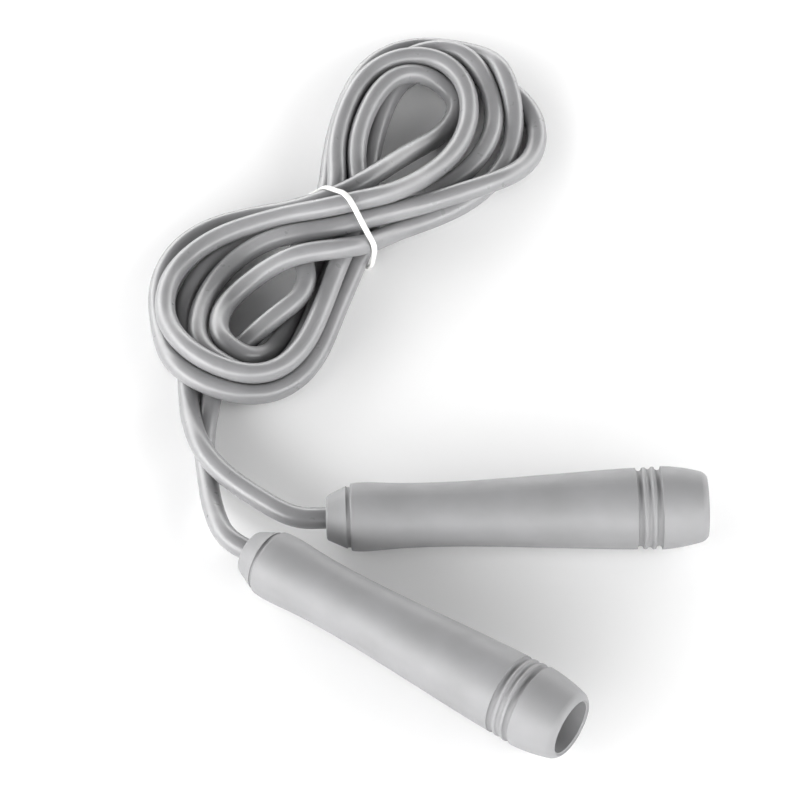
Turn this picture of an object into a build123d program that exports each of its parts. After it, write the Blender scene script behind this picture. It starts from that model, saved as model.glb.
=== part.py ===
"""Jump rope: two hollow plastic handles on one PVC cord, wound in a figure-eight hank and tied.

Millimetres, +Z up, the floor at Z = 0. The origin lies under the middle of the two handles, and
handle A lies along +X. Each handle is made in its own frame: X along its axis, from the nose to the
open end, and Y up.
"""

import os
from math import atan2, cos, degrees, pi, radians, sin, tan

from build123d import *

# --- the cord -----------------------------------------------------------------------------------
CORD_DIA = 8.5
CORD_R = CORD_DIA / 2

# --- the handles: stations along the axis from the nose face, radii from the axis ----------------
HANDLE_LENGTH = 150.0
NOSE_R, NOSE_ROUND = 8.6, 1.6
SHOULDER_X, SHOULDER_R = 10.6, 13.55
BELLY_R = 16.45
# the grip's outside between its shoulder and its first groove
GRIP_BODY = (
    (13.0, 13.60), (24.0, 13.15), (40.0, 12.68), (58.0, 13.00), (80.0, 14.05), (100.0, 15.10), (113.0, 15.75),
)
# the grip's grooves: station, half width and depth
GROOVES = ((123.2, 1.25, 1.35), (126.9, 1.0, 0.9), (130.6, 1.35, 1.45))
GROOVE_START_R = 16.05
RIB_ROUND = 0.25
END_TAPER = ((140.0, 15.60), (147.6, 13.90))
RIM_OUTER_R = 11.9
MOUTH_R, MOUTH_LENGTH = 10.8, 21.5
MOUTH_ROUND = 0.7
BORE_NOSE_R, BORE_MOUTH_R = 9.4, 10.3

# --- the nose cap and what runs in it --------------------------------------------------------------
SEAM_X, SEAM_WIDTH, SEAM_R = 8.2, 1.4, 11.9
SEAM_ROUND = 0.3
SPIGOT_END = 24.3
SOCKET_R, PRESS = 10.0, 0.03
CORD_HOLE_R = CORD_R + 0.45
LIP_ROUND = 1.2
WEB_X = 6.0
RECESS_R = 8.0
WASHER_X, WASHER_THICKNESS, WASHER_R, WASHER_HOLE_R = 6.05, 1.2, RECESS_R - 0.05, CORD_HOLE_R
STOP_X, STOP_LENGTH, STOP_R, STOP_ROUND = 7.4, 6.0, 6.3, 0.8
CORD_END_X = 14.2

# --- where the handles lie: nose on the floor plan, and the way the open end points ----------------
HANDLES = {"a": (-57.86, 49.44, 0.0), "b": (-87.56, 33.04, -36.4)}
# a handle rests on its shoulder and on its belly, so its axis climbs a little towards the open end
REST_SHOULDER, REST_BELLY = (14.37, 13.6625), (132.05, BELLY_R)
TILT = atan2(REST_BELLY[1] - REST_SHOULDER[1], REST_BELLY[0] - REST_SHOULDER[0])
NOSE_HEIGHT = REST_SHOULDER[1] * cos(TILT) - REST_SHOULDER[0] * sin(TILT)

# --- the cord's leads: points of the route after the handle, on the floor plan and up --------------
NOSE_RUN = 12.8
LEADS = {
    "a": (
        (-90.7, 68.2, 13.4), (-106.5, 81.5, 13.6), (-113.0, 98.0, 13.2), (-114.5, 116.0, 7.0),
        (-116.0, 132.0, 4.8),
    ),
    "b": ((-103.5, 67.4, 6.5), (-108.0, 87.0, 4.3), (-106.5, 105.0, 4.3), (-105.0, 121.0, 4.5)),
}
ARC_SHARE = 0.45

# --- the hank: two lobes and the tied waist between them -------------------------------------------
FAR_LOBE = (
    (-58, 242), (-55, 264), (-49, 286), (-39, 305), (-24, 319), (-5, 325), (13, 319), (27, 304),
    (35, 286), (35, 267), (27, 249), (11, 231), (-12, 214), (-36, 204), (-54, 217),
)
FAR_EYE = (
    (-41, 240), (-38, 259), (-33, 279), (-21, 295), (-7, 298), (2, 287), (-1, 272), (-15, 255), (-32, 238),
)
NEAR_LOBE = (
    (-43, 197), (-46, 175), (-54, 152), (-64, 134), (-78, 121), (-95, 116), (-111, 119), (-122, 132),
    (-127, 152), (-129, 172), (-126, 192), (-116, 208), (-100, 218), (-79, 225), (-57, 222),
)
NEAR_EYE = ((-66, 192), (-77, 186), (-88, 171), (-94, 153), (-88, 147), (-77, 156), (-69, 172))
LOBE_HEIGHT, LOBE_ROUND = 20.0, 4.0
WAIST_X, WAIST_Y, WAIST_AZIMUTH = -48.5, 209.0, 33.0
WAIST_LENGTH, WAIST_HALF_WIDTH, WAIST_HALF_HEIGHT = 26.0, 21.0, 12.5

# --- the rubber band round the waist ----------------------------------------------------------------
BAND_WIDTH, BAND_THICKNESS, BAND_BITE = 2.2, 1.1, 0.1


def handle_plane(side):
    """The handle's own frame: origin at the nose, X along the axis, Y up."""
    x, y, azimuth = HANDLES[side]
    heading = radians(azimuth)
    axis = (cos(heading) * cos(TILT), sin(heading) * cos(TILT), sin(TILT))
    return Plane(origin=(x, y, NOSE_HEIGHT), x_dir=axis, z_dir=(sin(heading), -cos(heading), 0))


def spin_axis(plane):
    return Axis(plane.origin, plane.x_dir)


def save(part, name):
    part.label = name
    export_step(part, f"parts/{name}.step")


def groove_base(station):
    """Radius of the grip's envelope in the grooved stretch."""
    first = GROOVES[0][0] - GROOVES[0][1]
    last = GROOVES[-1][0] + GROOVES[-1][1]
    return GROOVE_START_R + (BELLY_R - GROOVE_START_R) * (station - first) / (last - first)


def grip(plane):
    """Hollow moulded grip: waisted body, three grooves, tapered open end, socket for the nose cap."""
    nose_end = SEAM_X + SEAM_WIDTH
    nose_end_r = NOSE_R + (SHOULDER_R - NOSE_R) * nose_end / SHOULDER_X
    first = (GROOVES[0][0] - GROOVES[0][1], GROOVE_START_R)
    with BuildPart() as shell:
        with BuildSketch(plane):
            with BuildLine():
                Line((nose_end, SOCKET_R), (nose_end, nose_end_r - SEAM_ROUND))
                cone_start = (nose_end + SEAM_ROUND, nose_end_r + SEAM_ROUND / 2)
                shoulder = (SHOULDER_X, SHOULDER_R - SEAM_ROUND / 2)
                Line((nose_end, nose_end_r - SEAM_ROUND), cone_start)
                Line(cone_start, shoulder)
                Spline(shoulder, *GRIP_BODY, first)
                edge = first
                for groove, next_groove in zip(GROOVES, GROOVES[1:]):
                    station, half, depth = groove
                    rib_start = (station + half, groove_base(station + half) - RIB_ROUND)
                    rib_stop_x = next_groove[0] - next_groove[1]
                    rib_stop = (rib_stop_x, groove_base(rib_stop_x) - RIB_ROUND)
                    crest_x = (rib_start[0] + rib_stop_x) / 2
                    ThreePointArc(edge, (station, groove_base(station) - depth), rib_start)
                    ThreePointArc(rib_start, (crest_x, groove_base(crest_x)), rib_stop)
                    edge = rib_stop
                station, half, depth = GROOVES[-1]
                belly = (station + half, BELLY_R)
                ThreePointArc(edge, (station, groove_base(station) - depth), belly)
                ThreePointArc(belly, END_TAPER[0], END_TAPER[1])
                ThreePointArc(END_TAPER[1], (149.2, 12.9), (HANDLE_LENGTH, RIM_OUTER_R))
                Line((HANDLE_LENGTH, RIM_OUTER_R), (HANDLE_LENGTH, MOUTH_R + MOUTH_ROUND))
                mouth_x = HANDLE_LENGTH - MOUTH_ROUND
                mouth_floor = mouth_x - MOUTH_LENGTH
                RadiusArc((HANDLE_LENGTH, MOUTH_R + MOUTH_ROUND), (mouth_x, MOUTH_R), -MOUTH_ROUND)
                Line((mouth_x, MOUTH_R), (mouth_floor, MOUTH_R))
                Line((mouth_floor, MOUTH_R), (mouth_floor - 0.5, BORE_MOUTH_R))
                Line((mouth_floor - 0.5, BORE_MOUTH_R), (SPIGOT_END + 0.2, BORE_NOSE_R))
                Line((SPIGOT_END + 0.2, BORE_NOSE_R), (SPIGOT_END + 0.2, SOCKET_R))
                Line((SPIGOT_END + 0.2, SOCKET_R), (nose_end, SOCKET_R))
            make_face()
        revolve(axis=spin_axis(plane))
    return shell.part


def nose_cap(plane):
    """Conical cap: cord hole with a rounded lip, recess for the washer and stop, pressed spigot."""
    seam_edge_r = NOSE_R + (SHOULDER_R - NOSE_R) * SEAM_X / SHOULDER_X
    seam_end = SEAM_X + SEAM_WIDTH
    with BuildPart() as cap:
        with BuildSketch(plane):
            with BuildLine():
                RadiusArc((LIP_ROUND, CORD_HOLE_R), (0, CORD_HOLE_R + LIP_ROUND), -LIP_ROUND)
                cone_end = (SEAM_X - SEAM_ROUND, seam_edge_r - SEAM_ROUND / 2)
                FilletPolyline((0, CORD_HOLE_R + LIP_ROUND), (0, NOSE_R), cone_end, radius=NOSE_ROUND)
                Line(cone_end, (SEAM_X, seam_edge_r - SEAM_ROUND))
                Line((SEAM_X, seam_edge_r - SEAM_ROUND), (SEAM_X, SEAM_R))
                Line((SEAM_X, SEAM_R), (seam_end, SEAM_R))
                Line((seam_end, SEAM_R), (seam_end, SOCKET_R + PRESS))
                Line((seam_end, SOCKET_R + PRESS), (SPIGOT_END, SOCKET_R + PRESS))
                Line((SPIGOT_END, SOCKET_R + PRESS), (SPIGOT_END, RECESS_R))
                Line((SPIGOT_END, RECESS_R), (WEB_X, RECESS_R))
                Line((WEB_X, RECESS_R), (WEB_X, CORD_HOLE_R))
                Line((WEB_X, CORD_HOLE_R), (LIP_ROUND, CORD_HOLE_R))
            make_face()
        revolve(axis=spin_axis(plane))
    return cap.part


def ring_at(plane, station, length, inner, outer, rounding):
    """A ring on the handle's axis, its outer edges rounded."""
    with BuildPart() as ring:
        with BuildSketch(plane):
            with BuildLine():
                FilletPolyline(
                    (station, inner), (station, outer), (station + length, outer), (station + length, inner),
                    radius=rounding,
                )
                Line((station + length, inner), (station, inner))
            make_face()
        revolve(axis=spin_axis(plane))
    return ring.part


def lead(side):
    """The cord from its end inside the handle to the hank: straight runs joined by tangent arcs."""
    plane = handle_plane(side)
    inner_end = plane.origin + plane.x_dir * CORD_END_X
    first_turn = plane.origin - plane.x_dir * NOSE_RUN
    route = [inner_end, first_turn] + [Vector(*point) for point in LEADS[side]]
    runs = [b - a for a, b in zip(route, route[1:])]
    radii = []
    for before, after in zip(runs, runs[1:]):
        turn = radians(before.get_angle(after))
        radii.append(ARC_SHARE * min(before.length, after.length) / tan(turn / 2))
    with BuildPart() as tube:
        with BuildLine() as path:
            FilletPolyline(*route, radius=radii)
        with BuildSketch(Plane(origin=route[0], z_dir=runs[0])):
            Circle(CORD_R)
        sweep(path=path.wires()[0])
    length = path.wires()[0].length
    ideal = pi * CORD_R**2 * length
    print(f"lead {side}: length {length:.1f}, volume ratio {tube.part.volume / ideal:.4f}")
    print(f"lead {side}: runs {[round(run.length, 1) for run in runs]}, radii {[round(r, 1) for r in radii]}")
    return tube.part


def hank_lobe(outline, eye):
    """One loop of the figure eight: the outer shape of the stacked turns, with its eye open."""
    with BuildPart() as lobe:
        with BuildSketch():
            with BuildLine():
                Spline(*outline, periodic=True)
            make_face()
            with BuildLine():
                Spline(*eye, periodic=True)
            make_face(mode=Mode.SUBTRACT)
        extrude(amount=LOBE_HEIGHT)
        fillet(lobe.edges().group_by(Axis.Z)[-1], LOBE_ROUND)
    return lobe.part


def hank():
    """Outer shape of the wound and tied cord: its two lobes and the waist between them."""
    lobes = [hank_lobe(FAR_LOBE, FAR_EYE), hank_lobe(NEAR_LOBE, NEAR_EYE)]
    with BuildPart() as wound:
        add(lobes)
        with BuildSketch(waist_plane(-WAIST_LENGTH / 2)):
            Ellipse(WAIST_HALF_WIDTH, WAIST_HALF_HEIGHT)
        extrude(amount=WAIST_LENGTH)
    return wound.part


def waist_plane(offset):
    """A plane across the waist: normal along it, X level, offset along it from its middle."""
    heading = radians(WAIST_AZIMUTH)
    along = Vector(cos(heading), sin(heading), 0)
    middle = Vector(WAIST_X, WAIST_Y, BAND_THICKNESS + WAIST_HALF_HEIGHT)
    return Plane(origin=middle + along * offset, x_dir=(-sin(heading), cos(heading), 0), z_dir=along)


def tie_band():
    """White rubber band stretched round the waist of the hank."""
    with BuildPart() as band:
        with BuildSketch(waist_plane(-BAND_WIDTH / 2)):
            Ellipse(WAIST_HALF_WIDTH + BAND_THICKNESS, WAIST_HALF_HEIGHT + BAND_THICKNESS)
            Ellipse(WAIST_HALF_WIDTH - BAND_BITE, WAIST_HALF_HEIGHT - BAND_BITE, mode=Mode.SUBTRACT)
        extrude(amount=BAND_WIDTH)
    return band.part


os.makedirs("parts", exist_ok=True)
handle_parts = []
for side in HANDLES:
    frame = handle_plane(side)
    pieces = {
        f"handle_grip_{side}": grip(frame),
        f"nose_cap_{side}": nose_cap(frame),
        f"thrust_washer_{side}": ring_at(frame, WASHER_X, WASHER_THICKNESS, WASHER_HOLE_R, WASHER_R, 0.3),
        f"cord_stop_{side}": ring_at(frame, STOP_X, STOP_LENGTH, CORD_R - PRESS, STOP_R, STOP_ROUND),
        f"rope_lead_{side}": lead(side),
    }
    for name, part in pieces.items():
        save(part, name)
    handle_parts += [pieces[f"handle_grip_{side}"], pieces[f"nose_cap_{side}"]]
save(hank(), "rope_hank")
save(tie_band(), "tie_band")

box = Compound(children=handle_parts).bounding_box()
print("handles from", box.min, "to", box.max, "centre", box.center())
print("tilt of the handles", round(degrees(TILT), 3), "nose height", round(NOSE_HEIGHT, 3))
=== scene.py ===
"""Looks of the jump rope: a grey cord wound into a tied figure-eight, with two
hollow handles. Metres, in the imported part's frame. The cord's route is laid out and
settles in millimetres."""

import math

import bmesh
import bpy
import numpy as np
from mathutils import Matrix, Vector


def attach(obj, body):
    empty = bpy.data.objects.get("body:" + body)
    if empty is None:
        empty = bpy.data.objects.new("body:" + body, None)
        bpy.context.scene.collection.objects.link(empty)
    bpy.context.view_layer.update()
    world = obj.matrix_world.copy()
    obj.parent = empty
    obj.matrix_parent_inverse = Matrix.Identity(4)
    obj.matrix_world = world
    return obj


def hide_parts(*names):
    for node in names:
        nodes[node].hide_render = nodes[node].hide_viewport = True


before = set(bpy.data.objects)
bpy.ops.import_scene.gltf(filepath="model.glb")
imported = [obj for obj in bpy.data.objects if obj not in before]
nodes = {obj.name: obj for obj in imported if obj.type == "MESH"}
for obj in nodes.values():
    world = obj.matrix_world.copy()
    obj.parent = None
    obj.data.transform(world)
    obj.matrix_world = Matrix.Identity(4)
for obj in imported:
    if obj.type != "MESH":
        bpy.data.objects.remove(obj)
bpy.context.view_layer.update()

MM = 0.001
CORD_MM = 8.5
DIA = CORD_MM * MM
RAD = DIA / 2

# ---------------------------------------------------------------- camera
CAMERA_AIM = (-0.0274, 0.1217, 0.0)
CAMERA_EYE = (-0.0459, -0.8021, 1.0703)
CAMERA_LENS, CAMERA_SENSOR = 155, 36


def add(name, data):
    obj = bpy.data.objects.new(name, data)
    bpy.context.scene.collection.objects.link(obj)
    return obj


def place(name, data, at, towards):
    """Add a camera or a light that looks from one point towards another."""
    obj = add(name, data)
    obj.location = at
    look = Vector(towards) - Vector(at)
    obj.rotation_euler = look.to_track_quat("-Z", "Y").to_euler()
    return obj


cam_data = bpy.data.cameras.new("camera")
cam_data.lens = CAMERA_LENS
cam_data.sensor_width = CAMERA_SENSOR
bpy.context.scene.camera = place("camera", cam_data, CAMERA_EYE, CAMERA_AIM)

# ---------------------------------------------------------------- the cord's route
# The two leads are the route's own points. Lead a leaves handle a and runs to the
# hank, lead b leaves the hank and runs to handle b.
LEAD_A = [
    (-43.7, 49.44, 13.66),
    (-56.5, 49.44, 13.35),
    (-70.3, 49.44, 13.05),
    (-85.0, 60.3, 13.0),
    (-100.0, 73.8, 13.2),
    (-108.5, 88.0, 13.0),
    (-112.5, 106.0, 7.5),
    (-114.0, 121.0, 4.4),
]
LEAD_B = [
    (-104.0, 124.0, 4.3),
    (-106.0, 111.0, 4.3),
    (-107.3, 94.0, 4.3),
    (-105.5, 78.0, 5.0),
    (-103.2, 59.5, 8.6),
    (-98.0, 40.75, 13.0),
    (-86.35, 32.15, 13.35),
    (-76.13, 24.62, 13.6),
]

# The hank is wound as a figure-eight: far lobe, under the crossing, near lobe, over
# the crossing, and so on. Each turn is given by how far it lies from the middle of
# its lobe and how high, at these angles round the lobe.
FAR_MID = (-16.0, 277.0)
FAR_ANGLES = (-105, -75, -45, -15, 15, 45, 75, 105, 135, 165, 195, 222)
FAR_TURNS = [
    (
        (57, 43.5, 35.5, 33.5, 34.5, 39.5, 45.5, 39.5, 28.4, 25.5, 29.8, 44),
        (17, 12, 12, 12, 12, 12, 11.3, 8.6, 7.2, 6.6, 4.5, 4.4),
    ),
    (
        (65, 53.5, 53, 53.2, 49, 42, 38.5, 30.5, 20.5, 17.3, 21, 33),
        (17, 14, 12.8, 4.4, 4.3, 4.3, 4.3, 4.3, 4.3, 4.3, 4.3, 4.3),
    ),
    (
        (29, 14.5, 11.5, 13.5, 18.5, 24.5, 29, 27.5, 23.5, 20.7, 26.5, 43),
        (17, 11, 7, 6, 6, 6, 7, 12.5, 13.5, 13.3, 12, 12),
    ),
    (
        (60, 36, 26, 22, 23, 27, 35.5, 34.5, 33, 30.8, 35.5, 50),
        (20, 17, 16, 16, 16, 16, 15.5, 15, 14, 13.2, 12.3, 12),
    ),
    (
        (73, 55, 47, 41.5, 42.5, 44, 50.5, 44, 35, 32, 35.5, 48),
        (13, 6, 4.5, 4.3, 12.8, 12.3, 6, 4.3, 4.3, 4.3, 4.3, 4.3),
    ),
]
NEAR_MID = (-87.0, 163.0)
NEAR_ANGLES = (40, 10, -20, -50, -80, -110, -140, -170, -200, -230, -260, -285)
NEAR_TURNS = [
    (
        (40, 25, 21, 25.5, 33.5, 37, 31, 24, 23, 26, 33, 41),
        (4.3, 4.3, 4.3, 4.3, 7, 12, 12.8, 11, 9, 9.5, 12, 18),
    ),
    (
        (46.5, 32.5, 28.5, 33.5, 41.5, 45.5, 39, 37, 42.5, 53, 57.5, 56),
        (4.3, 4.3, 4.3, 4.3, 6, 12.8, 6, 4.3, 4.3, 4.5, 8, 15),
    ),
    (
        (44.5, 30, 26.3, 30, 38.5, 42, 38.5, 37, 40, 42, 43, 46),
        (12, 12, 12, 12.5, 15, 19.5, 19, 15, 13, 13, 17, 20),
    ),
    (
        (31, 17, 13.5, 18, 25.5, 27.5, 22.5, 17, 14, 14, 16, 24),
        (4.3, 4.3, 4.3, 4.8, 8, 12.5, 12.8, 12.8, 11, 9, 9, 13),
    ),
]
# The first half turn, from lead a, and the last, to lead b.
FIRST = ((36, 29, 31, 36, 42, 50), (4.4, 4.3, 4.3, 4.3, 8, 17))
LAST = [
    (-64.5, 194, 12.5),
    (-62, 183, 13),
    (-64, 172, 12.8),
    (-69.5, 162.5, 11.5),
    (-77, 156, 10.5),
    (-86, 151, 6),
    (-94, 146, 4.3),
    (-101.5, 138, 4.3),
]
# The crossing: each turn passes over it this far across and this high, and under it
# through these points.
TIE = np.array([-48.5, 209.0])
TIE_TURN = math.radians(33)  # which way the turns run at the tie
ALONG = np.array([math.cos(TIE_TURN), math.sin(TIE_TURN)])
ACROSS = np.array([-math.sin(TIE_TURN), math.cos(TIE_TURN)])
OVER_REACH = 8  # mm either side of the tie, along the crossing
OVER = [(2.6, 17.2), (-6.6, 20.3), (10.2, 18), (1.6, 25.4), (-15.0, 13.5)]
UNDER = [
    [(-47.5, 236, 4.3), (-48, 217, 5.4), (-56, 197, 4.3)],
    [(-39.5, 236, 4.3), (-40.5, 216, 5.4), (-49, 197, 4.3)],
    [(-42.5, 236, 11.7), (-45, 216, 12.5), (-51, 197, 11.7)],
    [(-50.5, 236, 12.0), (-51, 219, 13.0), (-57, 200, 8.5)],
    [(-55.5, 236, 4.3), (-57, 220, 5.4), (-66, 204, 8.5)],
]


def round_lobe(mid, angles, turn):
    """A turn's points round the middle of its lobe."""
    points = []
    for a, r, z in zip(angles, *turn):
        x = mid[0] + r * math.cos(math.radians(a))
        y = mid[1] + r * math.sin(math.radians(a))
        points.append((x, y, z))
    return points


def wind():
    """The hank's turns as laid down, before they settle."""
    points = round_lobe(NEAR_MID, NEAR_ANGLES[6:], FIRST)
    for i, turn in enumerate(FAR_TURNS):
        across, z = OVER[i]
        for s in (-OVER_REACH, OVER_REACH):
            x, y = TIE + ALONG * s + ACROSS * across
            points.append((x, y, z))
        points += round_lobe(FAR_MID, FAR_ANGLES, turn)
        points += UNDER[i]
        if i < len(NEAR_TURNS):
            points += round_lobe(NEAR_MID, NEAR_ANGLES, NEAR_TURNS[i])
    return np.array(points + LAST, float)


# How the hank settles. Lengths are in mm.
STEP, SUBSTEPS = 6.5, 12  # between a turn's points, and how finely they are found
ROUNDS, LATE = 260, 0.7  # the share of the rounds after which turns are held less
HOLD, HOLD_LATE = 0.03, 0.009  # share of the way back to where it was laid, each round
SIGHT = np.array([0.0, 0.653, -0.757])  # the camera's line of sight
SIGHT_HOLD = 0.12  # share of the hold along it, so turns shift little in the picture
SINK = 0.03  # each round
STIFFNESS = 1.4 / 16
GAP = 0.1  # kept between two turns
PUSHES = 2  # each round
LOOK_EVERY, LOOK_PAST = 10, 9  # rounds between searches for close turns, and how close
SKIP = 3  # points along the cord that are too near to count as another turn
# the band under the turns: how far it lifts them, over what width, half its length
BAND_LIFT, BAND_REACH, BAND_HALF = 1.2, 10, 32


def run_length(line):
    """How far along the line each of its points is."""
    return np.concatenate([[0], np.cumsum(np.linalg.norm(np.diff(line, axis=0), axis=1))])


def evenly(points, step):
    """Points a step apart on a smooth line through the hank's own points."""
    q = np.vstack([2 * points[0] - points[1], points, 2 * points[-1] - points[-2]])
    t = np.linspace(0, 1, SUBSTEPS, endpoint=False)[:, None]
    line = []
    for a, b, c, d in zip(q[:-3], q[1:-2], q[2:-1], q[3:]):
        line.append(
            b
            + 0.5 * (c - a) * t
            + (a - 2.5 * b + 2 * c - 0.5 * d) * t**2
            + (1.5 * (b - c) + 0.5 * (d - a)) * t**3
        )
    line = np.vstack(line + [points[-1:]])
    run = run_length(line)
    at = np.linspace(0, run[-1], int(round(run[-1] / step)) + 1)
    return np.stack([np.interp(at, run, line[:, k]) for k in range(3)], 1)


def nearest(p, q, r, s):
    """Where the pieces of line p-q and r-s come closest, and the way between."""
    u, v, w = q - p, s - r, p - r
    a, b, c = (u * u).sum(1), (u * v).sum(1), (v * v).sum(1)
    d, e = (u * w).sum(1), (v * w).sum(1)
    m = np.clip((b * e - c * d) / np.maximum(a * c - b * b, 1e-9), 0, 1)
    n = np.clip((b * m + e) / c, 0, 1)
    m = np.clip((b * n - d) / a, 0, 1)
    return m, n, (p + u * m[:, None]) - (r + v * n[:, None])


def settle(points, held):
    """The turns push each other apart to a cord's width, bend evenly, sink and rest
    on the floor and on each other. They are held near where they were laid."""
    width, radius = CORD_MM + GAP, CORD_MM / 2
    p, laid, free = points.copy(), points.copy(), ~held
    for k in range(ROUNDS):
        if k % LOOK_EVERY == 0:
            mid = (p[:-1] + p[1:]) / 2
            far = ((mid[:, None] - mid[None]) ** 2).sum(2)
            i, j = np.where(far < (width + LOOK_PAST) ** 2)
            i, j = i[j > i + SKIP], j[j > i + SKIP]
        pull = HOLD if k < ROUNDS * LATE else HOLD_LATE
        off = laid - p
        slide = (off @ SIGHT)[:, None] * SIGHT
        p += pull * (off - slide) + SIGHT_HOLD * pull * slide
        p[:, 2] -= SINK
        bend = np.zeros_like(p)
        bend[2:-2] = -p[:-4] + 4 * p[1:-3] - 6 * p[2:-2] + 4 * p[3:-1] - p[4:]
        p[free] += STIFFNESS * bend[free]
        for _ in range(PUSHES):
            m, n, way = nearest(p[i], p[i + 1], p[j], p[j + 1])
            dist = np.linalg.norm(way, axis=1)
            hit = dist < width
            if not hit.any():
                continue
            unit = way[hit] / np.maximum(dist[hit], 1e-6)[:, None]
            push = unit * ((width - dist[hit]) / 2)[:, None]
            move, weight = np.zeros_like(p), np.zeros(len(p))
            for at, w, sign in (
                (i[hit], 1 - m[hit], 1),
                (i[hit] + 1, m[hit], 1),
                (j[hit], 1 - n[hit], -1),
                (j[hit] + 1, n[hit], -1),
            ):
                np.add.at(move, at, sign * w[:, None] * push)
                np.add.at(weight, at, w)
            p[free] += (move / np.maximum(weight, 1)[:, None])[free]
        p[held] = laid[held]
        # the band passes under the turns at the tie and lifts them a little
        rel = p[:, :2] - TIE
        near_tie = np.exp(-((rel @ ALONG / BAND_REACH) ** 2))
        near_tie *= np.abs(rel @ ACROSS) < BAND_HALF
        p[:, 2] = np.maximum(p[:, 2], radius + BAND_LIFT * near_tie)
    return p


turns = evenly(wind(), STEP)
route = np.vstack([LEAD_A, turns, LEAD_B])
held = np.ones(len(route), bool)
held[len(LEAD_A) : len(LEAD_A) + len(turns)] = False
route = settle(route, held) * MM


CURVE_ORDER = 3  # quadratic
CURVE_STEPS, CURVE_ROUND = 6, 8  # how fine it is along and round


def line_curve(name, points, radius=0.0):
    """A smooth line past the points, as thick as the radius says."""
    data = bpy.data.curves.new(name, "CURVE")
    data.dimensions = "3D"
    data.resolution_u = CURVE_STEPS
    data.bevel_depth = radius
    data.bevel_resolution = CURVE_ROUND
    data.use_fill_caps = radius > 0
    spline = data.splines.new("NURBS")
    spline.points.add(len(points) - 1)
    for point, co in zip(spline.points, points):
        point.co = (*co, 1)
    spline.order_u = CURVE_ORDER
    spline.use_endpoint_u = True
    return add(name, data)


def read_line(points):
    """Points on the cord's own smooth line."""
    probe = line_curve("probe", points)
    mesh = bpy.data.meshes.new_from_object(probe)
    line = np.array([v.co[:] for v in mesh.vertices])
    bpy.data.objects.remove(probe)
    bpy.data.meshes.remove(mesh)
    return line


route = [tuple(p) for p in route]
cord = line_curve("cord", route, RAD)
line = read_line(route)

# ---------------------------------------------------------------- the rubber band
BAND_W, BAND_T = 2.4 * MM, 1.1 * MM
BAND_GAP = 0.1 * MM  # between the band and the turns
BAND_NEAR = 12 * MM  # how far along the crossing a turn can touch the band
ROUND_STEPS = 32  # points round the cord
RING_STEPS, RING_SMOOTH = 160, 4
SECTION_STEPS = 20
WIDE_POWER, THICK_POWER = 0.45, 0.6  # below 1 makes the section flat, with rounded edges
DRIFT = ((0.25 * MM, 2, 0.6), (0.12 * MM, 5, 0.0))  # how far, how often, from where


def hull(points):
    """Convex outline of flat points, anticlockwise."""
    pts = sorted(map(tuple, points))

    def half(seq):
        out = []
        for p in seq:
            while (
                len(out) > 1
                and (out[-1][0] - out[-2][0]) * (p[1] - out[-2][1])
                - (out[-1][1] - out[-2][1]) * (p[0] - out[-2][0])
                <= 0
            ):
                out.pop()
            out.append(p)
        return out[:-1]

    return np.array(half(pts) + half(reversed(pts)))


def band_ring():
    """The band's middle line: the tight outline of the turns, seen along the crossing."""
    tie = np.array([*(TIE * MM), 0.0])
    along = np.array([*ALONG, 0.0])
    across = np.array([*ACROSS, 0.0])
    tangent = np.gradient(line, axis=0)
    tangent /= np.linalg.norm(tangent, axis=1)[:, None]
    rel = line - tie
    near = (np.abs(rel @ along) < BAND_NEAR) & (np.abs(rel @ across) < BAND_HALF * MM)
    outline = []
    for p, t in zip(rel[near], tangent[near]):
        u = np.cross(t, (0, 0, 1))
        u /= np.linalg.norm(u)
        v = np.cross(t, u)
        for a in np.linspace(0, 2 * math.pi, ROUND_STEPS, endpoint=False):
            q = p + RAD * (math.cos(a) * u + math.sin(a) * v)
            if abs(q @ along) < BAND_W:
                outline.append((q @ across, q[2]))
    ring = hull(outline)
    closed = np.vstack([ring, ring[:1]])
    run = run_length(closed)
    at = np.linspace(0, run[-1], RING_STEPS, endpoint=False)
    ring = np.stack([np.interp(at, run, closed[:, k]) for k in range(2)], 1)
    for _ in range(RING_SMOOTH):
        ring = (np.roll(ring, 1, 0) + 2 * ring + np.roll(ring, -1, 0)) / 4
    side = np.roll(ring, -1, 0) - np.roll(ring, 1, 0)
    out = np.stack([side[:, 1], -side[:, 0]], 1)
    out /= np.linalg.norm(out, axis=1)[:, None]
    return tie, along, across, ring + out * (BAND_T / 2 + BAND_GAP), out


def make_band():
    """The flat band along its middle line, a little uneven."""
    tie, along, across, ring, out = band_ring()
    up = np.array([0, 0, 1.0])
    section = []
    for k in range(SECTION_STEPS):
        a = 2 * math.pi * k / SECTION_STEPS
        c, s = math.cos(a), math.sin(a)
        wide = math.copysign(abs(c) ** WIDE_POWER, c) * BAND_W / 2
        thick = math.copysign(abs(s) ** THICK_POWER, s) * BAND_T / 2
        section.append((wide, thick))
    bm = bmesh.new()
    rows = []
    for n, ((s, z), (out_s, out_z)) in enumerate(zip(ring, out)):
        turn = 2 * math.pi * n / len(ring)
        drift = sum(far * math.sin(often * turn + start) for far, often, start in DRIFT)
        row = []
        for w, t in section:
            flat = tie + along * (w + drift) + across * (s + out_s * t)
            row.append(bm.verts.new(flat + up * (z + out_z * t)))
        rows.append(row)
    for a, b in zip(rows, rows[1:] + rows[:1]):
        for k in range(len(section)):
            m = (k + 1) % len(section)
            bm.faces.new((a[k], a[m], b[m], b[k]))
    bmesh.ops.recalc_face_normals(bm, faces=bm.faces)
    mesh = bpy.data.meshes.new("rubber_band")
    bm.to_mesh(mesh)
    bm.free()
    for face in mesh.polygons:
        face.use_smooth = True
    return add("rubber_band", mesh)


band = make_band()


# ---------------------------------------------------------------- materials
NOISE_LOW, NOISE_HIGH = 0.3, 0.7  # nearly all of a noise lies between these


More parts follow.
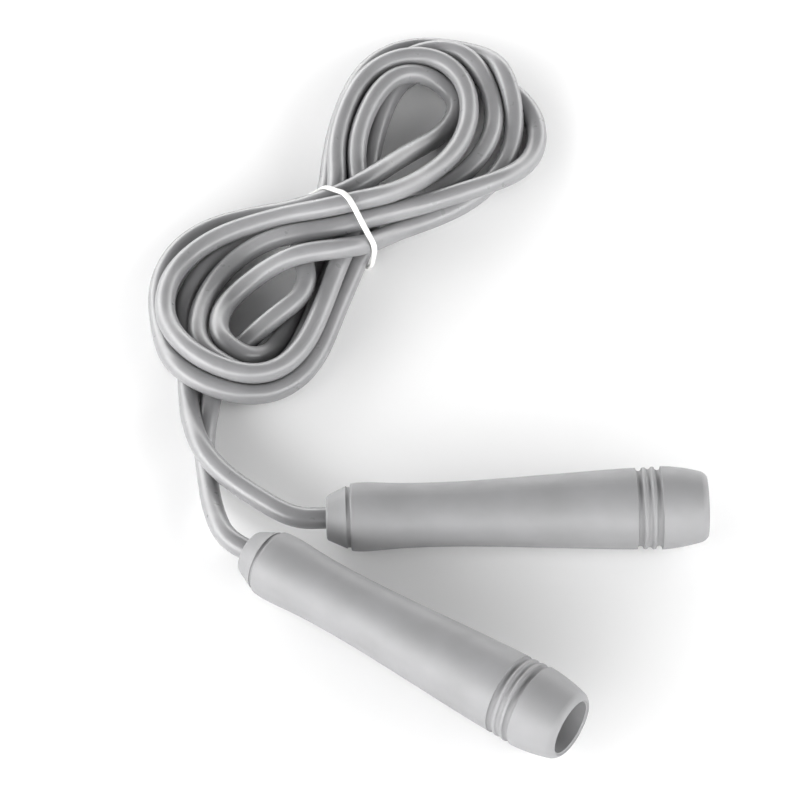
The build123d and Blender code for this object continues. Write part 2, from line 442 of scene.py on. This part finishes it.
def new_material(name):
    mat = bpy.data.materials.new(name)
    mat.use_nodes = True
    tree = mat.node_tree
    return mat, tree, tree.nodes["Principled BSDF"]


def noise(tree, scale, detail=4, finer_z=1):
    """Soft random spots over the object. finer_z makes them closer along its z."""
    coord = tree.nodes.new("ShaderNodeTexCoord")
    mapping = tree.nodes.new("ShaderNodeMapping")
    mapping.inputs["Scale"].default_value = (1, 1, finer_z)
    tex = tree.nodes.new("ShaderNodeTexNoise")
    tex.inputs["Scale"].default_value = scale
    tex.inputs["Detail"].default_value = detail
    tree.links.new(coord.outputs["Object"], mapping.inputs["Vector"])
    tree.links.new(mapping.outputs["Vector"], tex.inputs["Vector"])
    return tex.outputs["Fac"]


def spread(tree, value, low, high):
    """The noise as a number from low to high."""
    node = tree.nodes.new("ShaderNodeMapRange")
    node.inputs["From Min"].default_value = NOISE_LOW
    node.inputs["From Max"].default_value = NOISE_HIGH
    node.inputs["To Min"].default_value = low
    node.inputs["To Max"].default_value = high
    tree.links.new(value, node.inputs["Value"])
    return node.outputs["Result"]


def tint(tree, value, dark, light):
    """The noise as a colour from dark to light."""
    ramp = tree.nodes.new("ShaderNodeValToRGB")
    ends = zip(ramp.color_ramp.elements, (NOISE_LOW, NOISE_HIGH), (dark, light))
    for end, position, colour in ends:
        end.position, end.color = position, (*colour, 1)
    tree.links.new(value, ramp.inputs["Fac"])
    return ramp.outputs["Color"]


def add_bump(tree, shader, layers):
    """layers: (height, strength, distance), the coarsest first."""
    last = None
    for height, strength, distance in layers:
        node = tree.nodes.new("ShaderNodeBump")
        node.inputs["Strength"].default_value = strength
        node.inputs["Distance"].default_value = distance
        tree.links.new(height, node.inputs["Height"])
        if last is not None:
            tree.links.new(last, node.inputs["Normal"])
        last = node.outputs["Normal"]
    tree.links.new(last, shader.inputs["Normal"])


def make_material(name, colour, rough, bumps, sockets):
    """colour: noise scale, dark, light. rough: noise scale, low, high. bumps: for each
    layer noise scale, detail, strength, distance. A last number in rough or in a layer
    makes its noise finer along z. sockets: the shader's other values."""
    mat, tree, shader = new_material(name)
    scale, dark, light = colour
    tree.links.new(tint(tree, noise(tree, scale), dark, light), shader.inputs["Base Color"])
    scale, low, high, *finer = rough
    value = noise(tree, scale, 4, *finer)
    tree.links.new(spread(tree, value, low, high), shader.inputs["Roughness"])
    layers = []
    for scale, detail, strength, distance, *finer in bumps:
        layers.append((noise(tree, scale, detail, *finer), strength, distance))
    add_bump(tree, shader, layers)
    for socket, value in sockets.items():
        shader.inputs[socket].default_value = value
    return mat


def give(obj, mat):
    obj.data.materials.clear()
    obj.data.materials.append(mat)


grip_mat = make_material(
    "handle_moulded_plastic",
    colour=(45, (0.205, 0.205, 0.208), (0.235, 0.235, 0.24)),
    rough=(160, 0.46, 0.6),
    bumps=[(90, 2, 0.25, 0.0004), (2600, 3, 0.22, 0.00012)],
    sockets={"Specular IOR Level": 0.5},
)
cord_mat = make_material(
    "cord_glossy_pvc",
    colour=(60, (0.205, 0.205, 0.21), (0.24, 0.24, 0.245)),
    rough=(220, 0.27, 0.38),
    bumps=[(130, 2, 0.3, 0.0004), (1500, 3, 0.12, 0.0001)],
    sockets={"Coat Weight": 0.3, "Coat Roughness": 0.22},
)
band_mat = make_material(
    "band_white_rubber",
    colour=(140, (0.66, 0.66, 0.645), (0.73, 0.73, 0.715)),
    rough=(420, 0.5, 0.68),
    bumps=[(900, 3, 0.3, 0.00015)],
    sockets={"Subsurface Weight": 0.08, "Subsurface Radius": (0.001, 0.001, 0.001)},
)
washer_mat = make_material(
    "washer_nylon",
    colour=(120, (0.7, 0.69, 0.66), (0.78, 0.77, 0.74)),
    rough=(500, 0.35, 0.5),
    bumps=[(1800, 3, 0.2, 0.0001)],
    sockets={},
)
stop_mat = make_material(
    "stop_aluminium",
    colour=(300, (0.72, 0.72, 0.73), (0.82, 0.82, 0.83)),
    rough=(700, 0.3, 0.45, 6),
    bumps=[(1600, 3, 0.2, 0.0001, 8)],
    sockets={"Metallic": 1.0},
)
for side in "ab":
    give(nodes["handle_grip_" + side], grip_mat)
    give(nodes["nose_cap_" + side], grip_mat)
    give(nodes["thrust_washer_" + side], washer_mat)
    give(nodes["cord_stop_" + side], stop_mat)
give(cord, cord_mat)
give(band, band_mat)

# ---------------------------------------------------------------- how it joins the frame
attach(cord, "rope")
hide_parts("rope_lead_a", "rope_lead_b", "rope_hank")
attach(band, "rope")
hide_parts("tie_band")

# ---------------------------------------------------------------- floor and light
FLOOR = 4.0  # from the middle to each side
# The room: bright low walls, brightest at the front left, under a dark ceiling. Each
# pair is how high up it is, on a scale to 1 straight overhead, and how bright.
WALL_FOOT, CEILING = (0.0, 1.0), (0.75, 0.015)
WALL_TOPS = ((0.38, 1.0), (0.5, 0.1))
BRIGHT_SIDE = (-0.87, -0.5, 0)
SIDE_LEVELS = (0.8, 1.38)  # on the side away from it, and on it
ROOM_STRENGTH = 4.9
SOFTBOX_AIM, SOFTBOX_SIZE = (-0.03, 0.13, 0), (1.0, 0.5)
SOFTBOXES = (("key", (-1.3, -0.5, 0.7), 4), ("fill", (1.2, -0.5, 0.7), 5))


def lay_floor():
    bm = bmesh.new()
    ends = ((-FLOOR, -FLOOR), (FLOOR, -FLOOR), (FLOOR, FLOOR), (-FLOOR, FLOOR))
    bm.faces.new([bm.verts.new((x, y, 0)) for x, y in ends])
    mesh = bpy.data.meshes.new("floor")
    bm.to_mesh(mesh)
    bm.free()
    floor = add("floor", mesh)
    mat, tree, shader = new_material("floor_white")
    colour = tint(tree, noise(tree, 3), (0.93, 0.93, 0.93), (0.95, 0.95, 0.95))
    tree.links.new(colour, shader.inputs["Base Color"])
    shader.inputs["Roughness"].default_value = 0.9
    shader.inputs["Specular IOR Level"].default_value = 0.1
    give(floor, mat)
    return floor


def light_room():
    world = bpy.data.worlds.new("studio")
    world.use_nodes = True
    tree = world.node_tree
    coord = tree.nodes.new("ShaderNodeTexCoord")
    split = tree.nodes.new("ShaderNodeSeparateXYZ")
    tree.links.new(coord.outputs["Generated"], split.inputs[0])
    walls = tree.nodes.new("ShaderNodeValToRGB")
    stops = walls.color_ramp.elements
    for stop, (height, level) in zip(stops, (WALL_FOOT, CEILING)):
        stop.position, stop.color = height, (level, level, level, 1)
    for height, level in WALL_TOPS:
        stops.new(height).color = (level, level, level, 1)
    tree.links.new(split.outputs["Z"], walls.inputs["Fac"])

    facing = tree.nodes.new("ShaderNodeVectorMath")
    facing.operation = "DOT_PRODUCT"
    facing.inputs[1].default_value = BRIGHT_SIDE
    tree.links.new(coord.outputs["Generated"], facing.inputs[0])
    side = tree.nodes.new("ShaderNodeMapRange")
    side.inputs["From Min"].default_value = -1
    side.inputs["From Max"].default_value = 1
    side.inputs["To Min"].default_value = SIDE_LEVELS[0]
    side.inputs["To Max"].default_value = SIDE_LEVELS[1]
    tree.links.new(facing.outputs["Value"], side.inputs["Value"])

    glow = tree.nodes.new("ShaderNodeVectorMath")
    glow.operation = "SCALE"
    tree.links.new(walls.outputs["Color"], glow.inputs[0])
    tree.links.new(side.outputs["Result"], glow.inputs["Scale"])
    background = tree.nodes["Background"]
    tree.links.new(glow.outputs["Vector"], background.inputs["Color"])
    background.inputs["Strength"].default_value = ROOM_STRENGTH
    bpy.context.scene.world = world


floor = lay_floor()
light_room()
for name, at, power in SOFTBOXES:
    light = bpy.data.lights.new(name, "AREA")
    light.shape = "RECTANGLE"
    light.size, light.size_y = SOFTBOX_SIZE
    light.energy = power
    place(name, light, at, SOFTBOX_AIM)

bpy.context.scene.view_settings.view_transform = "Standard"
